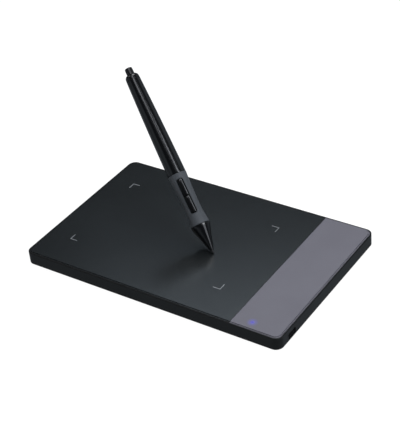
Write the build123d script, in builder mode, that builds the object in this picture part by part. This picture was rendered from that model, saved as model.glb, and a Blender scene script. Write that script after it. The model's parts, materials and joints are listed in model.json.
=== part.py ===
from build123d import *
from math import cos, radians, sin
import os

# A pen drawing tablet with its cordless pen standing on the drawing surface.
# +X points to the grey side panel, +Y to the rear edge and +Z up.
# The origin is the middle of the tablet's footprint, on the plane under its rubber feet.

os.makedirs("parts", exist_ok=True)

# ---------------------------------------------------------------- tablet driving dimensions
body_length = 175.5
body_depth = 111.0
body_height = 8.0
corner_radius = 4.8
foot_proud = 0.5

body_bottom = foot_proud
rim_top = body_bottom + body_height

# The upper shell sits inside the lip of the lower one, almost flush with it, and a narrow
# shadow gap shows between the two
shell_drop = 0.05
shell_top = rim_top - shell_drop
rebate_depth = 1.2
rebate_z = shell_top - rebate_depth
lip_thickness = 0.5
fit_gap = 0.15
shadow_gap = 0.4
rim_inset = lip_thickness + shadow_gap
rim_edge_radius = 0.12

# Lower shell
floor_thickness = 1.0
wall_thickness = 1.8
floor_top = body_bottom + floor_thickness
bottom_edge_radius = 0.5
top_edge_radius = 0.45
rib_height = 0.8
rib_half_width = 0.5
long_rib_left = -84.0
long_rib_right = 52.0
long_rib_ys = (-24.0, 0.0, 24.0)
cross_rib_half_length = 40.0
cross_rib_xs = (-60.0, -25.0, 10.0, 45.0)

# Upper shell, and the plate of sheet and panel that stands a little proud of the rim
recess_depth = 0.8
plate_proud = 0.3
plate_edge_radius = 0.1
plate_top = rim_top + plate_proud
plate_inset = 1.7
deck_thickness = 1.0
deck_top = rim_top - recess_depth
deck_bottom = deck_top - deck_thickness
deck_inset = wall_thickness + fit_gap
groove_width = 0.35
groove_depth = 0.4
panel_edge_x = 56.05
panel_gap = 0.1

# Work area marks on the drawing sheet
mark_leg = 5.0
mark_width = 0.5
mark_depth = 0.15
mark_proud = 0.02
area_centre_x = -17.25
area_half_length = 53.7
area_half_depth = 33.0

# Screws, feet and label on the underside
screw_y = 49.0
screw_spots = [(x, y) for x in (-62.0, -5.0, 50.0) for y in (-screw_y, screw_y)]
screw_radius = 1.0
screw_hole_gap = 0.2
screw_head_radius = 1.9
screw_head_gap = 0.3
screw_head_height = 1.3
screw_slot_length = 2.2
screw_slot_width = 0.5
screw_slot_depth = 0.8
screw_seat_z = floor_top + 0.5
screw_tip_z = deck_bottom - 0.3
boss_split_z = screw_seat_z + 0.8
boss_radius = 2.5
boss_foot_radius = 3.5
foot_radius = 5.5
foot_thickness = 1.0
foot_chamfer = 0.3
foot_x = 76.0
foot_y = 44.0
foot_recess = foot_thickness - foot_proud
recess_gap = 0.1
label_length = 44.0
label_width = 24.0
label_corner = 1.0
label_thickness = 0.15
label_recess = 0.2

# Boards and the ribbon between them
board_thickness = 1.0
board_z = floor_top + 0.9
board_top = board_z + board_thickness
board_left = 58.5
board_right = 83.8
board_front = -50.0
board_rear = 10.0
board_notch_gap = 0.2
chip_height = 1.0
chip_sizes = {
    (71.0, -22.0): (9.0, 9.0),
    (65.0, -33.0): (5.0, 6.0),
    (76.0, -32.0): (4.0, 3.0),
    (74.0, 0.0): (7.0, 7.0),
}
sensor_left = -79.0
sensor_right = 44.0
sensor_half_depth = 41.0
sensor_thickness = 0.8
sensor_bottom = deck_bottom - sensor_thickness
shield_thickness = 0.3
tab_length = 8.0
tab_y = -10.0
tab_half_width = 7.0
socket_left = board_left + 2.5
socket_length = 4.0
socket_height = 1.8
ribbon_width = 11.0
ribbon_thickness = 0.15
ribbon_overlap = 6.0
ribbon_plug = 2.2
ribbon_bend = 1.2
ribbon_low = board_top + socket_height / 2
ribbon_high = sensor_bottom - ribbon_thickness / 2

# Lamp and its light pipe
led_x = 67.45
led_y = -49.0
led_length = 1.6
led_width = 1.2
led_height = 0.7
lens_radius = 1.0
lens_gap = 0.05
lens_bottom = board_top + led_height + 0.2
lens_flange_bottom = lens_bottom + 0.6
lens_flange_radius = 1.6
lens_edge_radius = 0.1

# USB socket, size mini-B, in the right-hand wall
usb_y = -41.7
usb_z = body_bottom + 3.05
usb_width = 7.5
usb_height = 3.8
usb_depth = 9.2
usb_corner = 0.7
usb_sheet = 0.3
usb_face_x = body_length / 2 - 0.75
usb_port_gap = 0.1
usb_wing_length = 2.4
usb_wing_width = 1.4
usb_wing_x = usb_face_x - usb_depth + 2.2
usb_wing_offset = (usb_width + usb_wing_width - usb_sheet) / 2
insert_gap = 0.05
insert_back_x = usb_face_x - usb_depth + usb_sheet
insert_length = 1.8
tongue_length = 7.7
tongue_width = 4.8
tongue_height = 0.9
tongue_z = usb_z + 0.2
contact_pitch = 0.8
contact_width = 0.4
contact_thickness = 0.2
contact_length = 5.4

# ---------------------------------------------------------------- pen driving dimensions
# Stations along the pen are measured from the nib's tip, radii from the pen's axis.
pen_length = 122.0
pen_elevation = radians(44.5)
pen_heading = radians(153.4)
button_roll = radians(22.0)
nib_tip = Vector(15.27, -6.73, plate_top + 0.05)

nib_radius = 0.75
nib_end = 22.4
holder_front = 19.8
holder_rear = 23.3
holder_radius = 1.9
holder_stem_radius = 0.8
holder_stem_end = 27.0

cone_front = 2.4
cone_shoulder = 16.9
cone_rear = 18.75
cone_shoulder_radius = 5.5
cone_rear_radius = 5.85
cone_tip_radius = 1.12
cone_bore = nib_radius + 0.2
spigot_rear = 22.9
spigot_radius = 3.25
spigot_bore = 2.7
core_front = 9.0
core_rear = 18.4
core_radius = 1.85
coil_gap = 0.05
coil_front = 11.4
coil_rear = 17.2
coil_radius = 2.45

tube_outer = 4.2
tube_inner = 3.3
tube_rear = 66.0
sleeve_gap = 0.05
grip_front = 18.9
grip_rear = 51.6
grip_front_radius = 5.93
grip_rear_radius = 5.68

sensor_front = 27.9
sensor_rear = 30.8
sensor_radius = 2.3
spring_wire = 0.15

slot_front = 26.15
slot_rear = 48.05
slot_width = 4.0
slot_corner = 0.8
slot_gap = 0.15
button_middle = (slot_front + slot_rear) / 2
button_half_width = 1.5
button_split = 0.4
button_base = 3.45
button_crown = 0.12
button_edge_radius = 0.45
button_tab_base = 2.55
button_tab_thickness = 0.55
button_tab_root = 1.0
button_tab_reach = 0.6
button_tab_half_width = 1.0

pen_board_front = 31.0
pen_board_rear = 95.8
pen_board_width = 6.2
pen_board_bottom = 0.1
pen_board_top = 0.9
switch_spots = [(33.5, 0), (42.0, 0)]
switch_length = 3.2
switch_width = 2.6
switch_height = 1.4
plunger_radius = 0.7
plunger_height = 0.6

barrel_front = 51.75
barrel_rear = 114.2
barrel_front_radius = 5.6
barrel_rear_radius = 4.33
barrel_bore = tube_outer + 0.1
barrel_bore_front = tube_rear + 2.0
barrel_rear_bore = 3.4
barrel_bore_rear = 108.0

cap_gap = 0.1
cap_shoulder = 115.6
cap_shoulder_radius = 4.22
cap_rear = 117.6
cap_rear_radius = 2.85
cap_plug_front = 110.2
cap_plug_radius = 3.35
cap_plug_bore = 3.0

eraser_radius = 2.45
eraser_tip_radius = 2.35
eraser_gap = 0.15
eraser_edge = 0.8
eraser_stem_radius = 0.9
eraser_stem_end = 103.0
eraser_flange_front = 114.4
eraser_flange_rear = 115.5
eraser_flange_radius = 2.85
carrier_front = 96.0
carrier_rear = 113.4
carrier_bore = 2.45
carrier_radius = 2.9
eraser_sensor_front = 98.0
eraser_sensor_rear = 101.8
eraser_sensor_radius = 2.4
eraser_core_front = 104.0
eraser_core_rear = 110.4
eraser_coil_front = 105.0
eraser_coil_rear = 109.6
eraser_coil_radius = 2.4

pen_dir = Vector(
    cos(pen_elevation) * cos(pen_heading),
    cos(pen_elevation) * sin(pen_heading),
    sin(pen_elevation),
)
pen_up = Vector(
    -sin(pen_elevation) * cos(pen_heading),
    -sin(pen_elevation) * sin(pen_heading),
    cos(pen_elevation),
)
pen_side = Vector(-sin(pen_heading), cos(pen_heading), 0)
button_dir = pen_up * cos(button_roll) + pen_side * sin(button_roll)
pen_axis = Axis(nib_tip, pen_dir)

# Local X runs up the pen from the nib. Local Y points out through the side buttons.
pen_section = Plane(origin=nib_tip, x_dir=pen_dir, z_dir=pen_dir.cross(button_dir))
# Local X runs up the pen again, and local Z points out through the side buttons.
button_plane = Plane(origin=nib_tip, x_dir=pen_dir, z_dir=button_dir)
# Local X runs along +Y and local Y along +Z, on the mouth of the USB socket.
usb_face = Plane.YZ.offset(usb_face_x)


def outline(inset):
    """The tablet's plan, drawn this far inside the outer wall."""
    RectangleRounded(body_length - 2 * inset, body_depth - 2 * inset, corner_radius - inset)


def block(left, right, front, rear, mode=Mode.ADD):
    """A plain rectangle given by its four sides."""
    with Locations(((left + right) / 2, (front + rear) / 2)):
        Rectangle(right - left, rear - front, mode=mode)


def turned(*points):
    """A closed outline of (station, radius) points, for a piece turned about the pen's axis."""
    Polygon(*points, align=None)


def tube(front, rear, inner, outer):
    """The section of a plain tube about the pen's axis."""
    turned((front, inner), (rear, inner), (rear, outer), (front, outer))


def mark(x_sign, y_sign):
    """One L-shaped mark with its corner on a corner of the work area."""
    corner_x = area_centre_x + x_sign * area_half_length
    corner_y = y_sign * area_half_depth
    for leg_x, leg_y in ((mark_leg, mark_width), (mark_width, mark_leg)):
        with Locations((corner_x - x_sign * leg_x / 2, corner_y - y_sign * leg_y / 2)):
            Rectangle(leg_x, leg_y)


corner_signs = [(x_sign, y_sign) for x_sign in (-1, 1) for y_sign in (-1, 1)]
foot_spots = [(x_sign * foot_x, y_sign * foot_y) for x_sign, y_sign in corner_signs]

# ---------------------------------------------------------------- tablet case
# The lower shell is a tray with a lip around its top edge, bosses over the screws and
# shallow ribs across its floor.
with BuildPart() as bottom_cover:
    with BuildSketch(Plane.XY.offset(body_bottom)):
        outline(0)
    extrude(amount=shell_top - body_bottom)
    fillet(bottom_cover.faces().sort_by(Axis.Z)[0].edges(), bottom_edge_radius)
    fillet(bottom_cover.faces().sort_by(Axis.Z)[-1].edges(), top_edge_radius)
    with BuildSketch(Plane.XY.offset(floor_top)):
        outline(wall_thickness)
    extrude(amount=shell_top - floor_top, mode=Mode.SUBTRACT)
    with BuildSketch(Plane.XY.offset(rebate_z)):
        outline(lip_thickness)
    extrude(amount=rebate_depth, mode=Mode.SUBTRACT)
    with BuildSketch(Plane.XY.offset(floor_top)):
        for rib_y in long_rib_ys:
            block(long_rib_left, long_rib_right, rib_y - rib_half_width, rib_y + rib_half_width)
        for rib_x in cross_rib_xs:
            block(
                rib_x - rib_half_width,
                rib_x + rib_half_width,
                -cross_rib_half_length,
                cross_rib_half_length,
            )
    extrude(amount=rib_height)
    with BuildSketch(Plane.XY.offset(floor_top)):
        with Locations(screw_spots):
            Circle(boss_foot_radius)
    extrude(amount=boss_split_z - floor_top)
    with BuildSketch(Plane.XY.offset(body_bottom)):
        with Locations(screw_spots):
            Circle(screw_head_radius + screw_head_gap)
    extrude(amount=screw_seat_z - body_bottom, mode=Mode.SUBTRACT)
    with BuildSketch(Plane.XY.offset(screw_seat_z)):
        with Locations(screw_spots):
            Circle(screw_radius + screw_hole_gap)
    extrude(amount=boss_split_z - screw_seat_z, mode=Mode.SUBTRACT)
    with BuildSketch(Plane.XY.offset(body_bottom)):
        RectangleRounded(
            label_length + 2 * recess_gap,
            label_width + 2 * recess_gap,
            label_corner + recess_gap,
        )
    extrude(amount=label_recess, mode=Mode.SUBTRACT)
    with BuildSketch(Plane.XY.offset(body_bottom)):
        with Locations(foot_spots):
            Circle(foot_radius + recess_gap)
    extrude(amount=foot_recess, mode=Mode.SUBTRACT)
    with BuildSketch(usb_face.offset(body_length / 2 - usb_face_x)):
        with Locations((usb_y, usb_z)):
            RectangleRounded(
                usb_width + 2 * usb_port_gap,
                usb_height + 2 * usb_port_gap,
                usb_corner + usb_port_gap,
            )
    extrude(amount=-(wall_thickness + usb_port_gap), mode=Mode.SUBTRACT)
bottom_cover.part.label = "bottom_cover"
export_step(bottom_cover.part, "parts/bottom_cover.step")

# The upper shell is a deck with a raised rim, open at the right where the grey panel sits.
with BuildPart() as top_cover:
    with BuildSketch(Plane.XY.offset(rebate_z)):
        outline(rim_inset)
    extrude(amount=rim_top - rebate_z)
    fillet(top_cover.faces().sort_by(Axis.Z)[-1].edges(), rim_edge_radius)
    with BuildSketch(Plane.XY.offset(deck_bottom)):
        outline(deck_inset)
    extrude(amount=rebate_z - deck_bottom)
    with BuildSketch(Plane.XY.offset(deck_top)):
        outline(plate_inset - groove_width)
        block(panel_edge_x, body_length, -body_depth, body_depth)
    extrude(amount=recess_depth, mode=Mode.SUBTRACT)
    with BuildSketch(Plane.XY.offset(boss_split_z)):
        with Locations(screw_spots):
            Circle(boss_radius)
    extrude(amount=deck_bottom - boss_split_z)
    with BuildSketch(Plane.XY.offset(boss_split_z)):
        with Locations(screw_spots):
            Circle(screw_radius)
    extrude(amount=screw_tip_z - boss_split_z, mode=Mode.SUBTRACT)
    with BuildSketch(Plane.XY.offset(deck_bottom)):
        with Locations((led_x, led_y)):
            Circle(lens_radius + lens_gap)
    extrude(amount=deck_thickness, mode=Mode.SUBTRACT)
top_cover.part.label = "top_cover"
export_step(top_cover.part, "parts/top_cover.step")

# The grey panel carries the right-hand part of the rim, with a groove around its plate.
with BuildPart() as side_panel:
    with BuildSketch(Plane.XY.offset(deck_top)):
        outline(rim_inset)
    extrude(amount=rim_top - deck_top)
    fillet(side_panel.faces().sort_by(Axis.Z)[-1].edges(), rim_edge_radius)
    with BuildSketch(Plane.XY.offset(rim_top - groove_depth)):
        outline(plate_inset - groove_width)
    extrude(amount=groove_depth, mode=Mode.SUBTRACT)
    with BuildSketch(Plane.XY.offset(rim_top - groove_depth)):
        outline(plate_inset)
    extrude(amount=groove_depth + plate_proud)
    with BuildSketch(Plane.XY.offset(deck_top)):
        block(-body_length, panel_edge_x + panel_gap, -body_depth, body_depth)
    extrude(amount=recess_depth + plate_proud, mode=Mode.SUBTRACT)
    fillet(side_panel.faces().sort_by(Axis.Z)[-1].edges(), plate_edge_radius)
    with BuildSketch(Plane.XY.offset(deck_top)):
        with Locations((led_x, led_y)):
            Circle(lens_radius + lens_gap)
    extrude(amount=recess_depth + plate_proud, mode=Mode.SUBTRACT)
side_panel.part.label = "side_panel"
export_step(side_panel.part, "parts/side_panel.step")

# The drawing sheet lies in the recess of the upper shell, with the marks let into it.
with BuildPart() as drawing_sheet:
    with BuildSketch(Plane.XY.offset(deck_top)):
        outline(plate_inset)
        block(panel_edge_x, body_length, -body_depth, body_depth, Mode.SUBTRACT)
    extrude(amount=recess_depth + plate_proud)
    fillet(drawing_sheet.faces().sort_by(Axis.Z)[-1].edges(), plate_edge_radius)
    with BuildSketch(Plane.XY.offset(plate_top - mark_depth)):
        for x_sign, y_sign in corner_signs:
            mark(x_sign, y_sign)
    extrude(amount=mark_depth, mode=Mode.SUBTRACT)
drawing_sheet.part.label = "drawing_sheet"
export_step(drawing_sheet.part, "parts/drawing_sheet.step")

with BuildPart() as work_area_marks:
    with BuildSketch(Plane.XY.offset(plate_top - mark_depth)):
        for x_sign, y_sign in corner_signs:
            mark(x_sign, y_sign)
    extrude(amount=mark_depth + mark_proud)
work_area_marks.part.label = "work_area_marks"
export_step(work_area_marks.part, "parts/work_area_marks.step")

with BuildPart() as rating_label:
    with BuildSketch(Plane.XY.offset(body_bottom + label_recess - label_thickness)):
        RectangleRounded(label_length, label_width, label_corner)
    extrude(amount=label_thickness)
rating_label.part.label = "rating_label"
export_step(rating_label.part, "parts/rating_label.step")

# Four round rubber feet, one in each corner recess.
for x_sign, y_sign in corner_signs:
    foot_name = f"foot_{'front' if y_sign < 0 else 'rear'}_{'left' if x_sign < 0 else 'right'}"
    with BuildPart() as foot:
        with BuildSketch(Plane.XY):
            with Locations((x_sign * foot_x, y_sign * foot_y)):
                Circle(foot_radius)
        extrude(amount=foot_thickness)
        chamfer(foot.faces().sort_by(Axis.Z)[0].edges(), foot_chamfer)
    foot.part.label = foot_name
    export_step(foot.part, f"parts/{foot_name}.step")

# Six identical cross-headed screws clamp the two shells together from below.
with BuildPart() as case_screws:
    with BuildSketch(Plane.XY.offset(screw_seat_z - screw_head_height)):
        with Locations(screw_spots):
            Circle(screw_head_radius)
    extrude(amount=screw_head_height)
    with BuildSketch(Plane.XY.offset(screw_seat_z)):
        with Locations(screw_spots):
            Circle(screw_radius)
    extrude(amount=screw_tip_z - screw_seat_z)
    with BuildSketch(Plane.XY.offset(screw_seat_z - screw_head_height)):
        with Locations(screw_spots):
            Rectangle(screw_slot_length, screw_slot_width)
            Rectangle(screw_slot_width, screw_slot_length)
    extrude(amount=screw_slot_depth, mode=Mode.SUBTRACT)
case_screws.part.label = "case_screws"
export_step(case_screws.part, "parts/case_screws.step")

# ---------------------------------------------------------------- tablet electronics
# The aerial board lies under the deck, backed by a thin shield. Its tab reaches out
# towards the main board.
with BuildPart() as sensor_board:
    with BuildSketch(Plane.XY.offset(sensor_bottom)):
        block(sensor_left, sensor_right, -sensor_half_depth, sensor_half_depth)
        block(sensor_left, sensor_right + tab_length, tab_y - tab_half_width, tab_y + tab_half_width)
    extrude(amount=sensor_thickness)
sensor_board.part.label = "sensor_board"
export_step(sensor_board.part, "parts/sensor_board.step")

with BuildPart() as shield_plate:
    with BuildSketch(Plane.XY.offset(sensor_bottom - shield_thickness)):
        block(sensor_left, sensor_right, -sensor_half_depth, sensor_half_depth)
    extrude(amount=shield_thickness)
shield_plate.part.label = "shield_plate"
export_step(shield_plate.part, "parts/shield_plate.step")

# The main board is notched around the USB socket, which sits half sunk in it.
notch_left = usb_face_x - usb_depth - board_notch_gap
notch_half_width = usb_width / 2 + board_notch_gap
with BuildPart() as main_board:
    with BuildSketch(Plane.XY.offset(board_z)):
        block(board_left, board_right, board_front, board_rear)
        block(notch_left, board_right, usb_y - notch_half_width, usb_y + notch_half_width, Mode.SUBTRACT)
    extrude(amount=board_thickness)
main_board.part.label = "main_board"
export_step(main_board.part, "parts/main_board.step")

with BuildPart() as controller_chips:
    with BuildSketch(Plane.XY.offset(board_top)):
        for chip_spot, chip_size in chip_sizes.items():
            with Locations(chip_spot):
                Rectangle(*chip_size)
    extrude(amount=chip_height)
controller_chips.part.label = "controller_chips"
export_step(controller_chips.part, "parts/controller_chips.step")

# The flat ribbon leaves the tab of the aerial board and bends down into its socket.
with BuildPart() as ribbon_socket:
    with BuildSketch(Plane.XY.offset(board_top)):
        block(socket_left, socket_left + socket_length, tab_y - tab_half_width, tab_y + tab_half_width)
    extrude(amount=socket_height)
    with BuildSketch(Plane.YZ.offset(socket_left)):
        with Locations((tab_y, ribbon_low)):
            Rectangle(ribbon_width + fit_gap, ribbon_thickness + fit_gap)
    extrude(amount=ribbon_plug + fit_gap, mode=Mode.SUBTRACT)
ribbon_socket.part.label = "ribbon_socket"
export_step(ribbon_socket.part, "parts/ribbon_socket.step")

with BuildPart() as ribbon_cable:
    with BuildSketch(Plane.XZ.offset(-tab_y)):
        with BuildLine():
            FilletPolyline(
                (sensor_right + tab_length - ribbon_overlap, ribbon_high),
                (sensor_right + tab_length + ribbon_bend, ribbon_high),
                (socket_left - 2 * ribbon_bend, ribbon_low),
                (socket_left + ribbon_plug, ribbon_low),
                radius=ribbon_bend,
            )
            offset(amount=ribbon_thickness / 2, side=Side.BOTH)
        make_face()
    extrude(amount=ribbon_width / 2, both=True)
ribbon_cable.part.label = "ribbon_cable"
export_step(ribbon_cable.part, "parts/ribbon_cable.step")

with BuildPart() as status_led:
    with BuildSketch(Plane.XY.offset(board_top)):
        with Locations((led_x, led_y)):
            Rectangle(led_length, led_width)
    extrude(amount=led_height)
status_led.part.label = "status_led"
export_step(status_led.part, "parts/status_led.step")

# The light pipe carries the lamp's light from the board up through the grey panel.
with BuildPart() as led_lens:
    with BuildSketch(Plane.XY.offset(lens_bottom)):
        with Locations((led_x, led_y)):
            Circle(lens_radius)
    extrude(amount=plate_top - lens_bottom)
    with BuildSketch(Plane.XY.offset(lens_flange_bottom)):
        with Locations((led_x, led_y)):
            Circle(lens_flange_radius)
    extrude(amount=deck_bottom - lens_flange_bottom)
    fillet(led_lens.faces().sort_by(Axis.Z)[-1].edges(), lens_edge_radius)
led_lens.part.label = "led_lens"
export_step(led_lens.part, "parts/led_lens.step")

# The socket's metal shell is open towards the outside, closed at the back, and rests on
# the board by a wing at each side.
shell_bore_width = usb_width - 2 * usb_sheet
shell_bore_height = usb_height - 2 * usb_sheet
with BuildPart() as usb_shell:
    with BuildSketch(usb_face):
        with Locations((usb_y, usb_z)):
            RectangleRounded(usb_width, usb_height, usb_corner)
    extrude(amount=-usb_depth)
    with BuildSketch(usb_face):
        with Locations((usb_y, usb_z)):
            RectangleRounded(shell_bore_width, shell_bore_height, usb_corner - usb_sheet)
    extrude(amount=-(usb_depth - usb_sheet), mode=Mode.SUBTRACT)
    with BuildSketch(Plane.XY.offset(board_top)):
        for y_sign in (-1, 1):
            with Locations((usb_wing_x, usb_y + y_sign * usb_wing_offset)):
                Rectangle(usb_wing_length, usb_wing_width)
    extrude(amount=usb_sheet)
usb_shell.part.label = "usb_shell"
export_step(usb_shell.part, "parts/usb_shell.step")

with BuildPart() as usb_insert:
    with BuildSketch(Plane.YZ.offset(insert_back_x)):
        with Locations((usb_y, usb_z)):
            RectangleRounded(
                shell_bore_width - 2 * insert_gap,
                shell_bore_height - 2 * insert_gap,
                usb_corner - usb_sheet - insert_gap,
            )
    extrude(amount=insert_length)
    with BuildSketch(Plane.YZ.offset(insert_back_x)):
        with Locations((usb_y, tongue_z)):
            Rectangle(tongue_width, tongue_height)
    extrude(amount=tongue_length)
usb_insert.part.label = "usb_insert"
export_step(usb_insert.part, "parts/usb_insert.step")

contact_z = tongue_z - tongue_height / 2 - contact_thickness / 2
with BuildPart() as usb_contacts:
    with BuildSketch(Plane.YZ.offset(insert_back_x + insert_length)):
        for contact in (-2, -1, 0, 1, 2):
            with Locations((usb_y + contact * contact_pitch, contact_z)):
                Rectangle(contact_width, contact_thickness)
    extrude(amount=contact_length)
usb_contacts.part.label = "usb_contacts"
export_step(usb_contacts.part, "parts/usb_contacts.step")

# ---------------------------------------------------------------- pen, nib end
# The replaceable nib presses on the sensor through its holder and stem.
with BuildPart() as nib:
    with BuildSketch(pen_section):
        with BuildLine():
            ThreePointArc((0, 0), (0.07, 0.22), (0.25, 0.35))
            Polyline((0.25, 0.35), (1.3, nib_radius), (nib_end, nib_radius), (nib_end, 0), (0, 0))
        make_face()
    revolve(axis=pen_axis)
nib.part.label = "nib"
export_step(nib.part, "parts/nib.step")

with BuildPart() as nib_holder:
    with BuildSketch(pen_section):
        turned(
            (holder_front, nib_radius),
            (nib_end, nib_radius),
            (nib_end, 0),
            (holder_stem_end, 0),
            (holder_stem_end, holder_stem_radius),
            (holder_rear, holder_stem_radius),
            (holder_rear, holder_radius),
            (holder_front, holder_radius),
        )
    revolve(axis=pen_axis)
nib_holder.part.label = "nib_holder"
export_step(nib_holder.part, "parts/nib_holder.step")

# The nose cone swells gently towards the grip, and its spigot plugs into the inner tube.
# The core of the coil sits on the step inside it.
with BuildPart() as nose_cone:
    with BuildSketch(pen_section):
        with BuildLine():
            Line((cone_front, cone_tip_radius), (cone_shoulder, cone_shoulder_radius))
            ThreePointArc((cone_shoulder, cone_shoulder_radius), (17.9, 5.75), (cone_rear, cone_rear_radius))
            Polyline(
                (cone_rear, cone_rear_radius),
                (cone_rear, spigot_radius),
                (spigot_rear, spigot_radius),
                (spigot_rear, spigot_bore),
                (14.0, spigot_bore),
                (11.0, 2.55),
                (core_front, core_radius + 0.1),
                (core_front, cone_bore),
                (cone_front, cone_bore),
                (cone_front, cone_tip_radius),
            )
        make_face()
    revolve(axis=pen_axis)
nose_cone.part.label = "nose_cone"
export_step(nose_cone.part, "parts/nose_cone.step")

with BuildPart() as ferrite_core:
    with BuildSketch(pen_section):
        tube(core_front, core_rear, cone_bore, core_radius)
    revolve(axis=pen_axis)
ferrite_core.part.label = "ferrite_core"
export_step(ferrite_core.part, "parts/ferrite_core.step")

with BuildPart() as nib_coil:
    with BuildSketch(pen_section):
        tube(coil_front, coil_rear, core_radius + coil_gap, coil_radius)
    revolve(axis=pen_axis)
nib_coil.part.label = "nib_coil"
export_step(nib_coil.part, "parts/nib_coil.step")

# Both return springs are drawn at their pressed length.
# Each spring's values are its first station, its turns, its pitch and its coil radius.
spring_sizes = {"nib_spring": (24.3, 4, 0.8, 1.3), "eraser_spring": (110.65, 3, 0.8, 1.4)}
for spring_name, (spring_front, turns, pitch, coil) in spring_sizes.items():
    with BuildPart() as spring:
        with BuildLine() as spring_line:
            Helix(pitch, pitch * turns, coil, center=nib_tip + pen_dir * spring_front, direction=pen_dir)
        with BuildSketch(Plane(origin=spring_line.line @ 0, z_dir=spring_line.line % 0)):
            Circle(spring_wire)
        sweep(is_frenet=True)
    spring.part.label = spring_name
    export_step(spring.part, f"parts/{spring_name}.step")

with BuildPart() as pressure_sensor:
    with BuildSketch(pen_section):
        tube(sensor_front, sensor_rear, 0, sensor_radius)
    revolve(axis=pen_axis)
pressure_sensor.part.label = "pressure_sensor"
export_step(pressure_sensor.part, "parts/pressure_sensor.step")

# ---------------------------------------------------------------- pen, grip
# The inner tube joins the cone to the barrel, and the side buttons pass through its slot.
with BuildPart() as inner_tube:
    with BuildSketch(pen_section):
        tube(cone_rear, tube_rear, tube_inner, tube_outer)
    revolve(axis=pen_axis)
    with BuildSketch(button_plane):
        block(
            slot_front + slot_gap,
            slot_rear - slot_gap,
            -button_half_width - slot_gap,
            button_half_width + slot_gap,
        )
    extrude(amount=2 * tube_outer, mode=Mode.SUBTRACT)
inner_tube.part.label = "inner_tube"
export_step(inner_tube.part, "parts/inner_tube.step")

# The rubber grip narrows to a waist and flares again just above the cone.
with BuildPart() as grip_sleeve:
    with BuildSketch(pen_section):
        with BuildLine():
            Spline(
                (grip_rear, grip_rear_radius),
                (41.0, 5.18),
                (31.0, 4.97),
                (24.0, 5.28),
                (grip_front, grip_front_radius),
            )
            Polyline(
                (grip_front, grip_front_radius),
                (grip_front, tube_outer + sleeve_gap),
                (grip_rear, tube_outer + sleeve_gap),
                (grip_rear, grip_rear_radius),
            )
        make_face()
    revolve(axis=pen_axis)
    with BuildSketch(button_plane.offset(button_tab_base)):
        with Locations((button_middle, 0)):
            RectangleRounded(slot_rear - slot_front, slot_width, slot_corner)
    extrude(amount=tube_outer, mode=Mode.SUBTRACT)
grip_sleeve.part.label = "grip_sleeve"
export_step(grip_sleeve.part, "parts/grip_sleeve.step")

# Each side button is a crowned bar, with a tab at its outer end caught under the tube.
# Its values are its front and rear stations, its height at each and the side of its tab.
button_ends = {
    "lower_side_button": (slot_front + 2 * slot_gap, button_middle - button_split / 2, 5.5, 5.6, -1),
    "upper_side_button": (button_middle + button_split / 2, slot_rear - 2 * slot_gap, 5.65, 5.9, 1),
}
for button_name, (front, rear, front_top, rear_top, tab_side) in button_ends.items():
    middle = (front + rear) / 2
    middle_top = (front_top + rear_top) / 2 + button_crown
    root_outer = rear if tab_side > 0 else front
    root_inner = root_outer - tab_side * button_tab_root
    tab_end = root_outer + tab_side * button_tab_reach
    with BuildPart() as side_button:
        with BuildSketch(pen_section):
            with BuildLine():
                Polyline((front, front_top), (front, button_base), (rear, button_base), (rear, rear_top))
                ThreePointArc((front, front_top), (middle, middle_top), (rear, rear_top))
            make_face()
        extrude(amount=button_half_width, both=True)
        fillet(side_button.faces().sort_by(Axis((0, 0, 0), button_dir))[-1].edges(), button_edge_radius)
        with BuildSketch(pen_section):
            block(
                min(root_inner, root_outer),
                max(root_inner, root_outer),
                button_tab_base,
                button_base,
            )
            block(
                min(root_inner, tab_end),
                max(root_inner, tab_end),
                button_tab_base,
                button_tab_base + button_tab_thickness,
            )
        extrude(amount=button_tab_half_width, both=True)
    side_button.part.label = button_name
    export_step(side_button.part, f"parts/{button_name}.step")

with BuildPart() as pen_board:
    with BuildSketch(button_plane.offset(pen_board_bottom)):
        block(pen_board_front, pen_board_rear, -pen_board_width / 2, pen_board_width / 2)
    extrude(amount=pen_board_top - pen_board_bottom)
pen_board.part.label = "pen_board"
export_step(pen_board.part, "parts/pen_board.step")

with BuildPart() as side_switches:
    with BuildSketch(button_plane.offset(pen_board_top)):
        with Locations(switch_spots):
            Rectangle(switch_length, switch_width)
    extrude(amount=switch_height)
    with BuildSketch(button_plane.offset(pen_board_top + switch_height)):
        with Locations(switch_spots):
            Circle(plunger_radius)
    extrude(amount=plunger_height)
side_switches.part.label = "side_switches"
export_step(side_switches.part, "parts/side_switches.step")

# ---------------------------------------------------------------- pen, barrel and tail
with BuildPart() as rear_barrel:
    with BuildSketch(pen_section):
        with BuildLine():
            ThreePointArc(
                (barrel_front, barrel_front_radius),
                (86.0, 5.08),
                (barrel_rear, barrel_rear_radius),
            )
            Polyline(
                (barrel_rear, barrel_rear_radius),
                (barrel_rear, barrel_rear_bore),
                (barrel_bore_rear, barrel_rear_bore),
                (barrel_bore_front, barrel_bore),
                (barrel_front, barrel_bore),
                (barrel_front, barrel_front_radius),
            )
        make_face()
    revolve(axis=pen_axis)
rear_barrel.part.label = "rear_barrel"
export_step(rear_barrel.part, "parts/rear_barrel.step")

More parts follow.
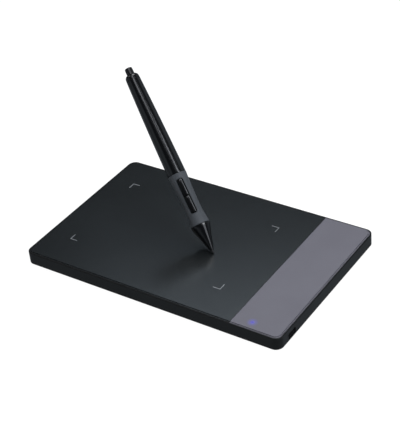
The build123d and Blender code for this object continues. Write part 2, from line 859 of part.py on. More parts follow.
# The tail cap plugs into the barrel and keeps the eraser's flange from coming out.
with BuildPart() as tail_cap:
    with BuildSketch(pen_section):
        with BuildLine():
            Line((barrel_rear + cap_gap, barrel_rear_radius), (cap_shoulder, cap_shoulder_radius))
            ThreePointArc((cap_shoulder, cap_shoulder_radius), (116.9, 3.75), (cap_rear, cap_rear_radius))
            Polyline(
                (cap_rear, cap_rear_radius),
                (cap_rear, eraser_radius + eraser_gap),
                (eraser_flange_rear + cap_gap, eraser_radius + eraser_gap),
                (eraser_flange_rear + cap_gap, cap_plug_bore),
                (cap_plug_front, cap_plug_bore),
                (cap_plug_front, cap_plug_radius),
                (barrel_rear + cap_gap, cap_plug_radius),
                (barrel_rear + cap_gap, barrel_rear_radius),
            )
        make_face()
    revolve(axis=pen_axis)
tail_cap.part.label = "tail_cap"
export_step(tail_cap.part, "parts/tail_cap.step")

with BuildPart() as eraser:
    with BuildSketch(pen_section):
        with BuildLine():
            Polyline(
                (pen_length, eraser_tip_radius - eraser_edge),
                (pen_length, 0),
                (eraser_stem_end, 0),
                (eraser_stem_end, eraser_stem_radius),
                (eraser_flange_front, eraser_stem_radius),
                (eraser_flange_front, eraser_flange_radius),
                (eraser_flange_rear, eraser_flange_radius),
                (eraser_flange_rear, eraser_radius),
                (pen_length - eraser_edge, eraser_tip_radius),
            )
            RadiusArc(
                (pen_length - eraser_edge, eraser_tip_radius),
                (pen_length, eraser_tip_radius - eraser_edge),
                eraser_edge,
            )
        make_face()
    revolve(axis=pen_axis)
eraser.part.label = "eraser"
export_step(eraser.part, "parts/eraser.step")

with BuildPart() as rear_carrier:
    with BuildSketch(pen_section):
        tube(carrier_front, carrier_rear, carrier_bore, carrier_radius)
    revolve(axis=pen_axis)
rear_carrier.part.label = "rear_carrier"
export_step(rear_carrier.part, "parts/rear_carrier.step")

with BuildPart() as eraser_sensor:
    with BuildSketch(pen_section):
        tube(eraser_sensor_front, eraser_sensor_rear, 0, eraser_sensor_radius)
    revolve(axis=pen_axis)
eraser_sensor.part.label = "eraser_sensor"
export_step(eraser_sensor.part, "parts/eraser_sensor.step")

with BuildPart() as eraser_core:
    with BuildSketch(pen_section):
        tube(eraser_core_front, eraser_core_rear, eraser_stem_radius + eraser_gap, core_radius)
    revolve(axis=pen_axis)
eraser_core.part.label = "eraser_core"
export_step(eraser_core.part, "parts/eraser_core.step")

with BuildPart() as eraser_coil:
    with BuildSketch(pen_section):
        tube(eraser_coil_front, eraser_coil_rear, core_radius + coil_gap, eraser_coil_radius)
    revolve(axis=pen_axis)
eraser_coil.part.label = "eraser_coil"
export_step(eraser_coil.part, "parts/eraser_coil.step")
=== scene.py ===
import json
from math import acos, atan2, cos, hypot, pi, radians, sin, sqrt, tan

import bmesh
import bpy
import numpy as np
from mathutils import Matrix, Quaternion, Vector


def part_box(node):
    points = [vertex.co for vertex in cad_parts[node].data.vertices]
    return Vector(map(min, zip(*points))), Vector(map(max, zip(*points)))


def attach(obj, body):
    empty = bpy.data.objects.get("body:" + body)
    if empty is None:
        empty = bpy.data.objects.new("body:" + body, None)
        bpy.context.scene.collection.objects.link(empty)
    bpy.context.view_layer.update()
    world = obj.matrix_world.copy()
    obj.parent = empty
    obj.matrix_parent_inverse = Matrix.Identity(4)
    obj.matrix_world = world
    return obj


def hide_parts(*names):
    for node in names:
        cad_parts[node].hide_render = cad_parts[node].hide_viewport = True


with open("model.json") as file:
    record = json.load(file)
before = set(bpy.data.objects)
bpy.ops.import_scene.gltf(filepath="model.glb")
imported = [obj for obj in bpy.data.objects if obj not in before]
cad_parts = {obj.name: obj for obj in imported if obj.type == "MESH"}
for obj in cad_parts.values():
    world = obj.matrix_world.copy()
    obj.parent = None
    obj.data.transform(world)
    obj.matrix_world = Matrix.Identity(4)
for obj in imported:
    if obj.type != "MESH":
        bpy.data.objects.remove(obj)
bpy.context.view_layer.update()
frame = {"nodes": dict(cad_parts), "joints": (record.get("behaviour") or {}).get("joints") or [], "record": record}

MM = 0.001

# ------------------------------------------------------------ places read from the frame
nodes = frame["nodes"]
joints = {joint["name"]: joint for joint in frame["joints"]}

# The middle of the lens's top.
lens_low, lens_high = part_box("led_lens")
lens_spot = (lens_low + lens_high) / 2
lens_spot.z = lens_high.z

# The pen's own frame: stations run up its axis from the nib's tip, and the side buttons
# face along button_dir.
pen_dir = Vector(joints["nib_press"]["axis"]).normalized()
button_dir = -Vector(joints["upper_button_press"]["axis"]).normalized()
side_dir = pen_dir.cross(button_dir)
nib_tip = min((v.co.copy() for v in nodes["nib"].data.vertices), key=lambda p: p.dot(pen_dir))


def stations(node):
    """The first and last station of a CAD node along the pen, in millimetres."""
    along = [(v.co - nib_tip).dot(pen_dir) / MM for v in nodes[node].data.vertices]
    return min(along), max(along)


def pen_point(station, radius, angle):
    """A point of the pen, in metres. Angle 0 faces out through the side buttons."""
    out = button_dir * cos(angle) + side_dir * sin(angle)
    return nib_tip + (pen_dir * station + out * radius) * MM


def bar_point(station, across, height):
    """A point of a flat-sided pen piece, in metres. Height points out through the buttons."""
    return nib_tip + (pen_dir * station + side_dir * across + button_dir * height) * MM


# ------------------------------------------------------------ outlines
# How finely slot_outline() divides each long side and each rounded corner.
slot_side_steps = 36
slot_corner_steps = 6


def arc(centre, radius, start, end, steps):
    """Points on a circle, the short way round from the direction of start to that of end."""
    (cx, cy), (sx, sy), (ex, ey) = centre, start, end
    first = atan2(sy - cy, sx - cx)
    last = atan2(ey - cy, ex - cx)
    turn = (last - first + pi) % (2 * pi) - pi
    angles = [first + turn * k / steps for k in range(steps + 1)]
    return [(cx + radius * cos(t), cy + radius * sin(t)) for t in angles]


def arc_through(start, middle, end, steps):
    """Points on the circle through three points, from start to end."""
    (ax, ay), (bx, by), (cx, cy) = start, middle, end
    d = 2 * (ax * (by - cy) + bx * (cy - ay) + cx * (ay - by))
    a2, b2, c2 = ax * ax + ay * ay, bx * bx + by * by, cx * cx + cy * cy
    ox = (a2 * (by - cy) + b2 * (cy - ay) + c2 * (ay - by)) / d
    oy = (a2 * (cx - bx) + b2 * (ax - cx) + c2 * (bx - ax)) / d
    return arc((ox, oy), hypot(ax - ox, ay - oy), start, end, steps)


def smooth_through(points, steps):
    """Points on the natural cubic spline through (station, radius) points, in rising station."""
    x = np.array([p[0] for p in points])
    y = np.array([p[1] for p in points])
    count = len(x)
    h = np.diff(x)
    system = np.eye(count)
    slope_change = np.zeros(count)
    for i in range(1, count - 1):
        system[i, i - 1: i + 2] = h[i - 1], 2 * (h[i - 1] + h[i]), h[i]
        slope_change[i] = 6 * ((y[i + 1] - y[i]) / h[i] - (y[i] - y[i - 1]) / h[i - 1])
    bend = np.linalg.solve(system, slope_change)
    found = []
    for at in np.linspace(x[0], x[-1], steps + 1):
        i = min(int(np.searchsorted(x, at, side="right")) - 1, count - 2)
        left, right = (x[i + 1] - at) / h[i], (at - x[i]) / h[i]
        value = left * y[i] + right * y[i + 1]
        value += ((left**3 - left) * bend[i] + (right**3 - right) * bend[i + 1]) * h[i] ** 2 / 6
        found.append((float(at), float(value)))
    return found


def eased(corners, steps=5):
    """A closed outline with each corner (x, y, radius) rounded by an arc of that radius."""
    outline = []
    count = len(corners)
    for i, (x, y, radius) in enumerate(corners):
        if radius == 0:
            outline.append((x, y))
            continue
        here = Vector((x, y))
        back = (Vector(corners[i - 1][:2]) - here).normalized()
        ahead = (Vector(corners[(i + 1) % count][:2]) - here).normalized()
        half = acos(back.dot(ahead)) / 2
        reach = radius / tan(half)
        centre = here + (back + ahead).normalized() * (radius / sin(half))
        outline += arc(centre, radius, here + back * reach, here + ahead * reach, steps)
    return outline


def plain(points):
    """Corners that stay as they are, for an outline that eased() rounds elsewhere."""
    return [(x, y, 0) for x, y in points]


def slot_outline(front, rear, half_width, corner):
    """Points round a rectangle with rounded corners, evenly spaced along its long sides."""
    near, far = front + corner, rear - corner
    across = half_width - corner
    centres = [(far, across, 0), (near, across, 90), (near, -across, 180), (far, -across, 270)]
    outline = []
    for i, (x, y, turn) in enumerate(centres):
        for k in range(slot_corner_steps + 1):
            angle = radians(turn + 90 * k / slot_corner_steps)
            outline.append((x + corner * cos(angle), y + corner * sin(angle)))
        if i % 2 == 0:
            next_x = centres[i + 1][0]
            edge_y = outline[-1][1]
            for k in range(1, slot_side_steps):
                outline.append((x + (next_x - x) * k / slot_side_steps, edge_y))
    return outline


# ------------------------------------------------------------ meshes
weld_distance = 1e-7
crease_angle = radians(35)


def shade(mesh):
    """Smooth shading, except where two faces meet at more than the crease angle."""
    mesh.shade_smooth()
    mesh.set_sharp_from_angle(angle=crease_angle)


def finish_mesh(name, bm):
    """Makes the object, with its double points welded and its normals outward."""
    bmesh.ops.remove_doubles(bm, verts=bm.verts, dist=weld_distance)
    bmesh.ops.recalc_face_normals(bm, faces=bm.faces)
    mesh = bpy.data.meshes.new(name)
    bm.to_mesh(mesh)
    bm.free()
    shade(mesh)
    made = bpy.data.objects.new(name, mesh)
    bpy.context.scene.collection.objects.link(made)
    return made


def skin(bm, rows, closed=True):
    """Faces between successive rings of vertices."""
    count = len(rows)
    for i in range(count if closed else count - 1):
        a, b = rows[i], rows[(i + 1) % count]
        for j in range(len(a)):
            k = (j + 1) % len(a)
            bm.faces.new([a[j], a[k], b[k], b[j]])


def lathe(name, section, segments=180):
    """A solid turned about the pen's axis from an outline of (station, radius) points.

    The outline closes on itself, unless it starts and ends on the axis.
    """
    bm = bmesh.new()
    rows = []
    for station, radius in section:
        angles = [2 * pi * k / segments for k in range(segments)]
        rows.append([bm.verts.new(pen_point(station, radius, t)) for t in angles])
    skin(bm, rows, closed=section[0][1] > 0)
    return finish_mesh(name, bm)


def stacked(name, rings):
    """A closed solid through rings of (station, across, height) points.

    The first ring is filled by one flat face, and the last one, whose middle may be higher
    than its sides, by strips that run from side to side.
    """
    bm = bmesh.new()
    rows = []
    for ring in rings:
        rows.append([bm.verts.new(bar_point(*point)) for point in ring])
    skin(bm, rows, closed=False)
    bm.faces.new(rows[0])
    last = rows[-1]
    half = len(last) // 2
    for k in range(half - 1):
        bm.faces.new([last[k], last[k + 1], last[-k - 2], last[-k - 1]])
    return finish_mesh(name, bm)


def combine(target, tool, operation):
    """Cuts the tool's solid out of the target or welds it on, and drops the tool."""
    step = target.modifiers.new("combine", "BOOLEAN")
    step.object = tool
    step.operation = operation
    step.solver = "EXACT"
    bpy.context.view_layer.update()
    evaluated = target.evaluated_get(bpy.context.evaluated_depsgraph_get())
    mesh = bpy.data.meshes.new_from_object(evaluated)
    target.modifiers.clear()
    target.data = mesh
    shade(mesh)
    bpy.data.objects.remove(tool)


# ------------------------------------------------------------ materials
# Nearly all the values of a noise texture lie between these two.
noise_low = 0.3
noise_high = 0.7

# Plastic and rubber: cells per metre of the broad colour shift, and how deep the grain is.
shift_scale = 40.0
grain_depth = 0.04 * MM

# Metal: cells per metre across the drawn lines, the scale that draws the cells out along X,
# and how strong and deep the lines are.
drawn_scale = 900.0
drawn_stretch = (0.05, 1.0, 1.0)
drawn_bump = 0.15
drawn_depth = 0.02 * MM


def new_material(name):
    """A new node material, its node tree, its shader and a texture coordinate node."""
    made = bpy.data.materials.new(name)
    made.use_nodes = True
    tree = made.node_tree
    shader = tree.nodes["Principled BSDF"]
    place = tree.nodes.new("ShaderNodeTexCoord")
    return made, tree, shader, place


def noise(tree, place, scale, detail=3.0, roughness=0.5, stretch=None):
    """A noise texture in the object's own coordinates, with its cells stretched if asked."""
    texture = tree.nodes.new("ShaderNodeTexNoise")
    texture.inputs["Scale"].default_value = scale
    texture.inputs["Detail"].default_value = detail
    texture.inputs["Roughness"].default_value = roughness
    source = place.outputs["Object"]
    if stretch:
        mapping = tree.nodes.new("ShaderNodeMapping")
        mapping.inputs["Scale"].default_value = stretch
        tree.links.new(source, mapping.inputs["Vector"])
        source = mapping.outputs["Vector"]
    tree.links.new(source, texture.inputs["Vector"])
    return texture.outputs["Fac"]


def between(tree, factor, low, high):
    """A number that follows the factor from low to high."""
    span = tree.nodes.new("ShaderNodeMapRange")
    span.inputs["From Min"].default_value = noise_low
    span.inputs["From Max"].default_value = noise_high
    span.inputs["To Min"].default_value = low
    span.inputs["To Max"].default_value = high
    tree.links.new(factor, span.inputs["Value"])
    return span.outputs["Result"]


def two_tones(tree, factor, dark, light, reach=(0.35, 0.65)):
    """A colour that follows the factor from dark to light."""
    ramp = tree.nodes.new("ShaderNodeValToRGB")
    for stop, position, colour in zip(ramp.color_ramp.elements, reach, (dark, light)):
        stop.position = position
        stop.color = (*colour, 1)
    tree.links.new(factor, ramp.inputs["Fac"])
    return ramp.outputs["Color"]


def bumped(tree, shader, factor, strength, distance):
    """Raises the surface by the factor."""
    bump = tree.nodes.new("ShaderNodeBump")
    bump.inputs["Strength"].default_value = strength
    bump.inputs["Distance"].default_value = distance
    tree.links.new(factor, bump.inputs["Height"])
    tree.links.new(bump.outputs["Normal"], shader.inputs["Normal"])


def plastic(name, dark, light, rough, grain, bump, specular):
    """Moulded plastic or rubber: a faint broad colour shift, and a fine moulded grain."""
    made, tree, shader, place = new_material(name)
    broad = noise(tree, place, shift_scale, detail=4.0)
    fine = noise(tree, place, grain, detail=2.0, roughness=0.6)
    tree.links.new(two_tones(tree, broad, dark, light), shader.inputs["Base Color"])
    tree.links.new(between(tree, fine, *rough), shader.inputs["Roughness"])
    shader.inputs["Specular IOR Level"].default_value = specular
    bumped(tree, shader, fine, bump, grain_depth)
    return made


def metal(name, dark, light, rough):
    """Plated or plain sheet metal with fine drawn lines."""
    made, tree, shader, place = new_material(name)
    lines = noise(tree, place, drawn_scale, detail=2.0, roughness=0.6, stretch=drawn_stretch)
    tree.links.new(two_tones(tree, lines, dark, light), shader.inputs["Base Color"])
    tree.links.new(between(tree, lines, *rough), shader.inputs["Roughness"])
    shader.inputs["Metallic"].default_value = 1.0
    bumped(tree, shader, lines, drawn_bump, drawn_depth)
    return made


# Slot: darker colour, lighter colour, roughness from and to, grain cells per metre, strength of
# the bump, and specular level.
plastics = {
    "shell_black": ((0.0035, 0.0040, 0.0042), (0.0048, 0.0055, 0.0057), (0.36, 0.46), 3500, 0.25, 0.26),
    "frame_black": ((0.0070, 0.0080, 0.0084), (0.0084, 0.0095, 0.0100), (0.24, 0.32), 4200, 0.15, 0.45),
    "sheet_black": ((0.0080, 0.0094, 0.0100), (0.0094, 0.0110, 0.0117), (0.20, 0.26), 5200, 0.12, 0.50),
    "panel_grey": ((0.140, 0.136, 0.158), (0.150, 0.146, 0.169), (0.48, 0.58), 4200, 0.18, 0.20),
    "mark_ink": ((0.19, 0.20, 0.21), (0.23, 0.24, 0.25), (0.50, 0.60), 5000, 0.10, 0.20),
    "rubber_black": ((0.012, 0.012, 0.013), (0.018, 0.018, 0.019), (0.75, 0.90), 2600, 0.50, 0.20),
    "grip_rubber": ((0.053, 0.059, 0.066), (0.062, 0.068, 0.076), (0.54, 0.64), 4000, 0.22, 0.30),
    "gloss_black": ((0.0024, 0.0026, 0.0031), (0.0034, 0.0037, 0.0043), (0.15, 0.19), 1500, 0.015, 0.50),
    "button_black": ((0.0022, 0.0024, 0.0028), (0.0032, 0.0035, 0.0040), (0.16, 0.22), 3000, 0.04, 0.50),
    "eraser_black": ((0.004, 0.004, 0.0045), (0.006, 0.006, 0.0066), (0.25, 0.33), 3000, 0.06, 0.50),
    "nib_black": ((0.010, 0.010, 0.011), (0.014, 0.014, 0.015), (0.35, 0.45), 3000, 0.10, 0.40),
    "port_plastic": ((0.008, 0.008, 0.008), (0.012, 0.012, 0.012), (0.40, 0.50), 4000, 0.10, 0.30),
    "carrier_grey": ((0.08, 0.08, 0.085), (0.10, 0.10, 0.105), (0.50, 0.60), 3000, 0.10, 0.30),
    "label_grey": ((0.15, 0.15, 0.155), (0.17, 0.17, 0.175), (0.35, 0.45), 2000, 0.05, 0.50),
    "board_green": ((0.010, 0.075, 0.035), (0.016, 0.10, 0.05), (0.30, 0.40), 2500, 0.10, 0.50),
    "chip_black": ((0.015, 0.015, 0.016), (0.022, 0.022, 0.024), (0.50, 0.60), 5000, 0.20, 0.30),
    "ribbon_amber": ((0.36, 0.19, 0.04), (0.45, 0.25, 0.06), (0.25, 0.35), 1500, 0.05, 0.50),
    "led_package": ((0.60, 0.60, 0.50), (0.70, 0.70, 0.62), (0.30, 0.40), 3000, 0.05, 0.50),
}
# Slot: darker colour, lighter colour, roughness from and to.
metals = {
    "screw_steel": ((0.12, 0.12, 0.125), (0.18, 0.18, 0.19), (0.30, 0.42)),
    "port_metal": ((0.34, 0.35, 0.36), (0.42, 0.43, 0.44), (0.25, 0.36)),
    "spring_steel": ((0.45, 0.45, 0.46), (0.55, 0.55, 0.56), (0.20, 0.30)),
    "shield_metal": ((0.45, 0.46, 0.47), (0.55, 0.56, 0.57), (0.30, 0.40)),
    "contact_gold": ((0.60, 0.42, 0.16), (0.75, 0.55, 0.25), (0.20, 0.30)),
    "coil_copper": ((0.50, 0.22, 0.09), (0.62, 0.30, 0.13), (0.25, 0.35)),
    "ferrite_grey": ((0.05, 0.05, 0.055), (0.07, 0.07, 0.075), (0.40, 0.50)),
}

# The lit lens: the light from its middle and its rim, and the plastic itself. Then the painted glow:
# the lens's light painted onto the panel around it, its colour and how far it spreads.
lens_core = (0.050, 0.035, 0.26)
lens_rim = (0.11, 0.10, 0.46)
lens_core_start = 0.45 * MM
lens_core_end = 1.25 * MM
lens_dark = (0.05, 0.05, 0.16)
lens_light = (0.06, 0.06, 0.19)
lens_rough = (0.15, 0.25)
lens_scale = 900.0
# Painted glow on the panel: full at the start distance from the lens, gone at the end.
painted_glow_colour = (0.0, 0.0, 0.20)
painted_glow_start = 0.6 * MM
painted_glow_end = 3.8 * MM


def near_lens(tree, place, start, end):
    """A number that falls smoothly from 1 at the start distance from the lens to 0 at the end."""
    apart = tree.nodes.new("ShaderNodeVectorMath")
    apart.operation = "DISTANCE"
    apart.inputs[1].default_value = lens_spot
    tree.links.new(place.outputs["Object"], apart.inputs[0])
    fall = tree.nodes.new("ShaderNodeMapRange")
    fall.interpolation_type = "SMOOTHSTEP"
    fall.inputs["From Min"].default_value = start
    fall.inputs["From Max"].default_value = end
    fall.inputs["To Min"].default_value = 1.0
    fall.inputs["To Max"].default_value = 0.0
    tree.links.new(apart.outputs["Value"], fall.inputs["Value"])
    return fall.outputs["Result"]


def glow(tree, shader, factor, low, high):
    """Light given off by the surface, from one colour to another as the factor rises."""
    light = two_tones(tree, factor, low, high, reach=(0.0, 1.0))
    tree.links.new(light, shader.inputs["Emission Color"])
    shader.inputs["Emission Strength"].default_value = 1.0


def lamp_material():
    """A lit violet-blue light pipe, a little deeper in colour at its middle."""
    made, tree, shader, place = new_material("led_blue")
    cloud = noise(tree, place, lens_scale)
    tree.links.new(two_tones(tree, cloud, lens_dark, lens_light), shader.inputs["Base Color"])
    tree.links.new(between(tree, cloud, *lens_rough), shader.inputs["Roughness"])
    core = near_lens(tree, place, lens_core_start, lens_core_end)
    glow(tree, shader, core, lens_rim, lens_core)
    return made


finishes = {slot: plastic(slot, *values) for slot, values in plastics.items()}
finishes.update({slot: metal(slot, *values) for slot, values in metals.items()})
finishes["led_blue"] = lamp_material()

# Painted glow: the lens's light is painted onto the panel round it, as light given off by the panel itself.
panel_tree = finishes["panel_grey"].node_tree
panel_place = next(node for node in panel_tree.nodes if node.type == "TEX_COORD")
painted_panel_glow = near_lens(panel_tree, panel_place, painted_glow_start, painted_glow_end)
glow(panel_tree, panel_tree.nodes["Principled BSDF"], painted_panel_glow, (0, 0, 0), painted_glow_colour)

for part in frame["record"]["subparts"]:
    carried = nodes[part["node"]]
    carried.data.materials.clear()
    carried.data.materials.append(finishes[part["material_slot"]])


def stands_for(piece, body, slot, node):
    """Gives a new piece its finish and its body, and hides the CAD node that it stands for."""
    piece.data.materials.append(finishes[slot])
    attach(piece, body)
    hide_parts(node)


# ------------------------------------------------------------ the pen
# Stations and radii are in millimetres. Each piece follows the CAD node that it stands for,
# with its edges eased.
cone_front, spigot_rear = stations("nose_cone")
cone_rear, tube_rear = stations("inner_tube")
grip_front, grip_rear = stations("grip_sleeve")
barrel_front, barrel_rear = stations("rear_barrel")
plug_front, cap_rear = stations("tail_cap")
stem_front, pen_length = stations("eraser")
nib_rear = stations("nib")[1]
# The radius of most eased edges.
edge = 0.12

# The nib's tip is an arc through three points, and its taper meets the shank in a soft shoulder.
nib_point = (0.07, 0.22)
nib_point_end = (0.25, 0.35)
nib_shoulder = 1.3
nib_shoulder_edge = 1.0
nib_radius = 0.75
nib_section = arc_through((0, 0), nib_point, nib_point_end, steps=8)
nib_side = [
    (*nib_point_end, 0),
    (nib_shoulder, nib_radius, nib_shoulder_edge),
    (nib_rear, nib_radius, 0),
]
nib_section += eased(nib_side, steps=6)[1:]
nib_section.append((nib_rear, 0))
stands_for(lathe("pen_nib", nib_section, segments=96), "nib_unit", "nib_black", "nib")

cone_tip_radius = 1.12
cone_shoulder = (16.9, 5.5)
cone_bulge = (17.9, 5.75)
cone_rear_radius = 5.85
cone_bore = 0.95
cone_bore_edge = 0.04
spigot_radius = 3.25
spigot_bore = 2.7
# The hollow for the coil narrows forwards in two tapers, then steps down to the nib's bore.
hollow_taper = 14.0
hollow_middle = (11.0, 2.55)
hollow_front = (9.0, 1.95)
cone_side = arc_through(cone_shoulder, cone_bulge, (cone_rear, cone_rear_radius), steps=10)[:-1]
cone_section = eased(
    [(cone_front, cone_bore, cone_bore_edge), (cone_front, cone_tip_radius, edge)]
    + plain(cone_side)
    + [(cone_rear, cone_rear_radius, edge)]
    + plain([
        (cone_rear, spigot_radius),
        (spigot_rear, spigot_radius),
        (spigot_rear, spigot_bore),
        (hollow_taper, spigot_bore),
        hollow_middle,
        hollow_front,
        (hollow_front[0], cone_bore),
    ])
)
stands_for(lathe("pen_nose", cone_section), "pen", "gloss_black", "nose_cone")

grip_waist = [(grip_front, 5.93), (24.0, 5.28), (31.0, 4.97), (41.0, 5.18), (grip_rear, 5.68)]
grip_bore = 4.25
grip_edge = 2 * edge
grip_side = smooth_through(grip_waist, steps=90)
grip_section = eased(
    [(grip_front, grip_bore, 0), (grip_front, grip_waist[0][1], grip_edge)]
    + plain(grip_side[1:-1])
    + [(grip_rear, grip_waist[-1][1], grip_edge), (grip_rear, grip_bore, 0)]
)
grip = lathe("pen_grip", grip_section, segments=240)

# The slot for the side buttons. Its cutter flares where it meets the rubber, which eases the rim.
slot_front = 26.15
slot_rear = 48.05
slot_half_width = 2.0
slot_corner = 0.8
slot_floor = 2.55
slot_flare = 0.4
cutter_top = 2 * grip_bore


def grip_height(station, across):
    """How far out the rubber lies at a place on the button side."""
    radius = np.interp(station, [p[0] for p in grip_side], [p[1] for p in grip_side])
    return sqrt(radius**2 - across**2)


slot_edge = slot_outline(slot_front, slot_rear, slot_half_width, slot_corner)
slot_wide = slot_outline(
    slot_front - slot_flare,
    slot_rear + slot_flare,
    slot_half_width + slot_flare,
    slot_corner + slot_flare,
)
cutter_rings = [
    [(s, a, slot_floor) for s, a in slot_edge],
    [(s, a, grip_height(s, a) - edge) for s, a in slot_edge],
    [(s, a, grip_height(s, a) + slot_flare - edge) for s, a in slot_wide],
    [(s, a, cutter_top) for s, a in slot_wide],
]
combine(grip, stacked("slot_cutter", cutter_rings), "DIFFERENCE")
stands_for(grip, "pen", "grip_rubber", "grip_sleeve")

# Each side button is a crowned bar with rounded edges, and a tab that the tube holds.
button_half_width = 1.5
button_split = 0.4
button_end_gap = 0.3
button_base = 3.45
button_crown = 0.12
button_cross_crown = 0.24
button_edge = 0.3
button_edge_steps = 6
button_least_corner = 0.05
# How far in from the sides the rings lie that carry the crown across the face.
crown_insets = (0.7, 0.95, 1.2, 1.4)
# Height of each button's face at its front and its rear end.
lower_tops = (5.5, 5.6)
upper_tops = (5.65, 5.9)
tab_base = 2.55
tab_top = 3.1
tab_half_width = 1.0
tab_root = 1.0
tab_reach = 0.6
tab_overlap = 0.3


def side_button(name, span, tops, tab_side):
    """A button over a span of stations, with its tab at the rear if tab_side is 1, front if -1."""
    front, rear = span
    front_top, rear_top = tops
    middle = (front + rear) / 2
    crest_top = (front_top + rear_top) / 2 + button_crown
    crest = arc_through((front, front_top), (middle, crest_top), (rear, rear_top), steps=40)

    def top(station, across):
        """Height of the button's face, before its edges are rounded."""
        along = np.interp(station, [p[0] for p in crest], [p[1] for p in crest])
        return along - button_cross_crown * (across / button_half_width) ** 2

    def ring(inset, drop):
        """The face's outline, moved in from the sides and down from the face."""
        corner = max(button_edge - inset, button_least_corner)
        outline = slot_outline(front + inset, rear - inset, button_half_width - inset, corner)
        return [(s, a, top(s, a) - drop) for s, a in outline]

    rings = [[(s, a, button_base) for s, a, _ in ring(0, 0)]]
    for k in range(button_edge_steps + 1):
        turn = pi / 2 * k / button_edge_steps
        rings.append(ring(button_edge * (1 - cos(turn)), button_edge * (1 - sin(turn))))
    for inset in crown_insets:
        rings.append(ring(inset, 0))
    button = stacked(name, rings)
    outer = rear if tab_side > 0 else front
    inner = outer - tab_side * tab_root
    tip = outer + tab_side * tab_reach
    inside = button_base + tab_overlap
    profile = [
        (inner, inside),
        (inner, tab_base),
        (tip, tab_base),
        (tip, tab_top),
        (outer, tab_top),
        (outer, inside),
    ]
    bm = bmesh.new()
    sides = []
    for across in (-tab_half_width, tab_half_width):
        sides.append([bm.verts.new(bar_point(s, across, height)) for s, height in profile])
    skin(bm, sides, closed=False)
    for side in sides:
        bm.faces.new(side)
    combine(button, finish_mesh("tab", bm), "UNION")
    return button


button_middle = (slot_front + slot_rear) / 2
lower_span = (slot_front + button_end_gap, button_middle - button_split / 2)
upper_span = (button_middle + button_split / 2, slot_rear - button_end_gap)
lower_button = side_button("button_lower", lower_span, lower_tops, -1)
upper_button = side_button("button_upper", upper_span, upper_tops, 1)
stands_for(lower_button, "lower_button", "button_black", "lower_side_button")
stands_for(upper_button, "upper_button", "button_black", "upper_side_button")

barrel_front_radius = 5.6
barrel_swell = (86.0, 5.08)
barrel_rear_radius = 4.33
# The bore is wide where the inner tube goes in, and tapers behind it.
barrel_bore = 4.3
barrel_bore_taper = tube_rear + 2.0
barrel_rear_bore = 3.4
barrel_bore_rear = 108.0
barrel_side = arc_through(
    (barrel_front, barrel_front_radius), barrel_swell, (barrel_rear, barrel_rear_radius), steps=60
)
barrel_section = eased(
    [(barrel_front, barrel_bore, 0), (barrel_front, barrel_front_radius, edge)]
    + plain(barrel_side[1:-1])
    + [(barrel_rear, barrel_rear_radius, edge)]
    + plain([
        (barrel_rear, barrel_rear_bore),
        (barrel_bore_rear, barrel_rear_bore),
        (barrel_bore_taper, barrel_bore),
    ])
)
stands_for(lathe("pen_barrel", barrel_section), "pen", "gloss_black", "rear_barrel")

cap_gap = 0.1
cap_front = barrel_rear + cap_gap
cap_plug_radius = 3.35
cap_plug_bore = 3.0
cap_mouth = 2.6
flange_pocket_rear = 115.6
cap_shoulder = (115.6, 4.22)
cap_bulge = (116.9, 3.75)
cap_rear_radius = 2.85
cap_mouth_edge = 0.08
cap_side = arc_through(cap_shoulder, cap_bulge, (cap_rear, cap_rear_radius), steps=14)
cap_section = eased(
    [(cap_front, cap_plug_radius, 0), (cap_front, barrel_rear_radius, edge)]
    + plain(cap_side[:-1])
    + [(cap_rear, cap_rear_radius, cap_mouth_edge), (cap_rear, cap_mouth, cap_mouth_edge)]
    + plain([
        (flange_pocket_rear, cap_mouth),
        (flange_pocket_rear, cap_plug_bore),
        (plug_front, cap_plug_bore),
        (plug_front, cap_plug_radius),
    ])
)
stands_for(lathe("pen_cap", cap_section), "pen", "gloss_black", "tail_cap")

stem_radius = 0.9
flange_front = 114.4
flange_rear = 115.5
flange_radius = 2.85
flange_edge = 0.1
eraser_front_radius = 2.44
eraser_rear_radius = 2.33
eraser_edge = 0.8
eraser_section = eased(
    [
        (stem_front, 0, 0),
        (stem_front, stem_radius, flange_edge),
        (flange_front, stem_radius, 0),
        (flange_front, flange_radius, flange_edge),
        (flange_rear, flange_radius, flange_edge),
        (flange_rear, eraser_front_radius, 0),
        (pen_length, eraser_rear_radius, eraser_edge),
        (pen_length, 0, 0),
    ],
    steps=8,
)
eraser = lathe("pen_eraser", eraser_section, segments=144)
stands_for(eraser, "eraser_unit", "eraser_black", "eraser")

# ------------------------------------------------------------ stage, light and camera
camera_place = Vector((0.37077, -0.49399, 0.45870))
camera_target = Vector((-0.01570, 0.02583, 0.00850))
camera_roll = radians(-5.94)
camera_lens = 109.50
camera_sensor = 36.0
camera_near = 0.05
camera_far = 30.0

light_centre = Vector((-0.02, 0.02, 0.04))
lamp_distance = 1.5

# Azimuth and elevation in degrees, width and height in metres, radiance and colour.
# Azimuth runs from +X towards +Y.
softboxes = {
    "rear_sheen": (125, 50.5, 0.50, 0.56, 1.5, (0.84, 1.0, 1.15)),
    "top": (100, 70, 0.90, 0.90, 4.9, (1.0, 1.0, 1.0)),
    "front_top": (-53, 70, 0.55, 0.55, 0.9, (1.0, 1.0, 1.0)),
    "left": (200, 45, 0.55, 0.55, 2.2, (1.0, 1.0, 1.0)),
    "left_fill": (-122, 16, 0.80, 0.60, 0.34, (0.9, 1.0, 1.1)),
    "right": (2, 33, 0.55, 0.55, 5.4, (0.96, 1.0, 1.04)),
    "right_fill": (55, 24, 1.00, 0.80, 0.40, (0.9, 1.0, 1.1)),
}
# Lamps that stand beside the pen: the angle round the pen from the camera's side towards the
# right, in degrees, then the shift along the pen, width and height in metres, and radiance.
strips = {
    "tail_streak": (13, 0.84, 0.60, 0.9, 2.8),
    "barrel_streak": (33, -0.06, 0.36, 0.9, 5.2),
    "cone_streak": (45, -0.79, 0.65, 0.5, 2.6),
}
strip_tint = (0.93, 0.97, 1.06)
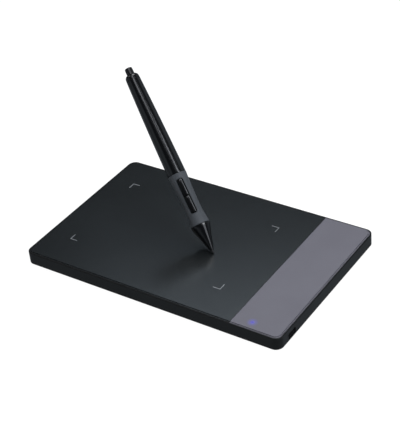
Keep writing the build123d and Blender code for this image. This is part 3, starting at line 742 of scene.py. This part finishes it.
# Radiance of the room: low_surround up to the first of two heights above the horizon, given as
# sines, then falling to high_surround at the second.
low_surround = 0.30
high_surround = 0.05
surround_fade = (sin(radians(-5)), sin(radians(12)))
surround_tint = (0.86, 0.96, 1.06)


def softbox(name, place, width, height, radiance, tint):
    """A rectangular studio lamp that faces the object, with the power that its radiance takes."""
    data = bpy.data.lights.new(name, "AREA")
    data.shape = "RECTANGLE"
    data.size = width
    data.size_y = height
    data.energy = radiance * pi * width * height
    data.color = tint
    made = bpy.data.objects.new(name, data)
    made.location = place
    made.rotation_mode = "QUATERNION"
    made.rotation_quaternion = (light_centre - place).to_track_quat("-Z", "Y")
    bpy.context.scene.collection.objects.link(made)


def make_world():
    """A dim room, paler low down."""
    world = bpy.data.worlds.new("studio")
    world.use_nodes = True
    tree = world.node_tree
    surround = tree.nodes["Background"]
    surround.inputs["Color"].default_value = (*surround_tint, 1)
    way = tree.nodes.new("ShaderNodeTexCoord")
    parts = tree.nodes.new("ShaderNodeSeparateXYZ")
    fade = tree.nodes.new("ShaderNodeMapRange")
    fade.interpolation_type = "SMOOTHSTEP"
    fade.inputs["From Min"].default_value = surround_fade[0]
    fade.inputs["From Max"].default_value = surround_fade[1]
    fade.inputs["To Min"].default_value = low_surround
    fade.inputs["To Max"].default_value = high_surround
    tree.links.new(way.outputs["Generated"], parts.inputs["Vector"])
    tree.links.new(parts.outputs["Z"], fade.inputs["Value"])
    tree.links.new(fade.outputs["Result"], surround.inputs["Strength"])
    bpy.context.scene.world = world


def make_lamps():
    """Soft boxes round the object, and lamps that draw the streaks along the pen."""
    for name, (azimuth, elevation, width, height, radiance, tint) in softboxes.items():
        turn, rise = radians(azimuth), radians(elevation)
        towards = Vector((cos(rise) * cos(turn), cos(rise) * sin(turn), sin(rise)))
        softbox(name, light_centre + towards * lamp_distance, width, height, radiance, tint)
    to_camera = (camera_place - light_centre).normalized()
    rightwards = pen_dir.cross(to_camera).normalized()
    towards_camera = rightwards.cross(pen_dir)
    for name, (angle, shift, width, height, radiance) in strips.items():
        towards = towards_camera * cos(radians(angle)) + rightwards * sin(radians(angle))
        place = light_centre + towards * lamp_distance + pen_dir * shift
        softbox(name, place, width, height, radiance, strip_tint)


# The floor: its half width, how far it lies under the feet, the cells per metre of its faint
# clouds, its own colours, the light it gives off and its roughness.
floor_half_width = 20.0
floor_gap = 0.02 * MM
floor_scale = 3.0
floor_tones = ((0.12, 0.12, 0.12), (0.13, 0.13, 0.13))
floor_glow = ((0.94, 0.94, 0.94), (0.96, 0.96, 0.96))
floor_roughness = 0.9


def make_floor():
    """A wide plain floor under the feet, softly lit from within like a light table.

    It stays out of reflections, so that the polished pen stays dark towards its underside.
    """
    bm = bmesh.new()
    bmesh.ops.create_grid(bm, x_segments=2, y_segments=2, size=floor_half_width)
    floor = finish_mesh("floor", bm)
    floor.location.z = -floor_gap
    made, tree, shader, place = new_material("floor_white")
    cloud = noise(tree, place, floor_scale)
    tree.links.new(two_tones(tree, cloud, *floor_tones), shader.inputs["Base Color"])
    glow(tree, shader, cloud, *floor_glow)
    shader.inputs["Roughness"].default_value = floor_roughness
    shader.inputs["Specular IOR Level"].default_value = 0.0
    floor.data.materials.append(made)
    floor.visible_glossy = False


def make_camera():
    """The scene's camera, turned about its own line of sight by camera_roll."""
    data = bpy.data.cameras.new("camera")
    data.lens = camera_lens
    data.sensor_width = camera_sensor
    data.clip_start = camera_near
    data.clip_end = camera_far
    made = bpy.data.objects.new("camera", data)
    made.location = camera_place
    made.rotation_mode = "QUATERNION"
    level = (camera_target - camera_place).to_track_quat("-Z", "Y")
    made.rotation_quaternion = level @ Quaternion((0, 0, 1), camera_roll)
    bpy.context.scene.collection.objects.link(made)
    bpy.context.scene.camera = made


make_floor()
make_world()
make_lamps()
make_camera()
# Colours come out as they are set, with no film look.
bpy.context.scene.view_settings.view_transform = "Standard"
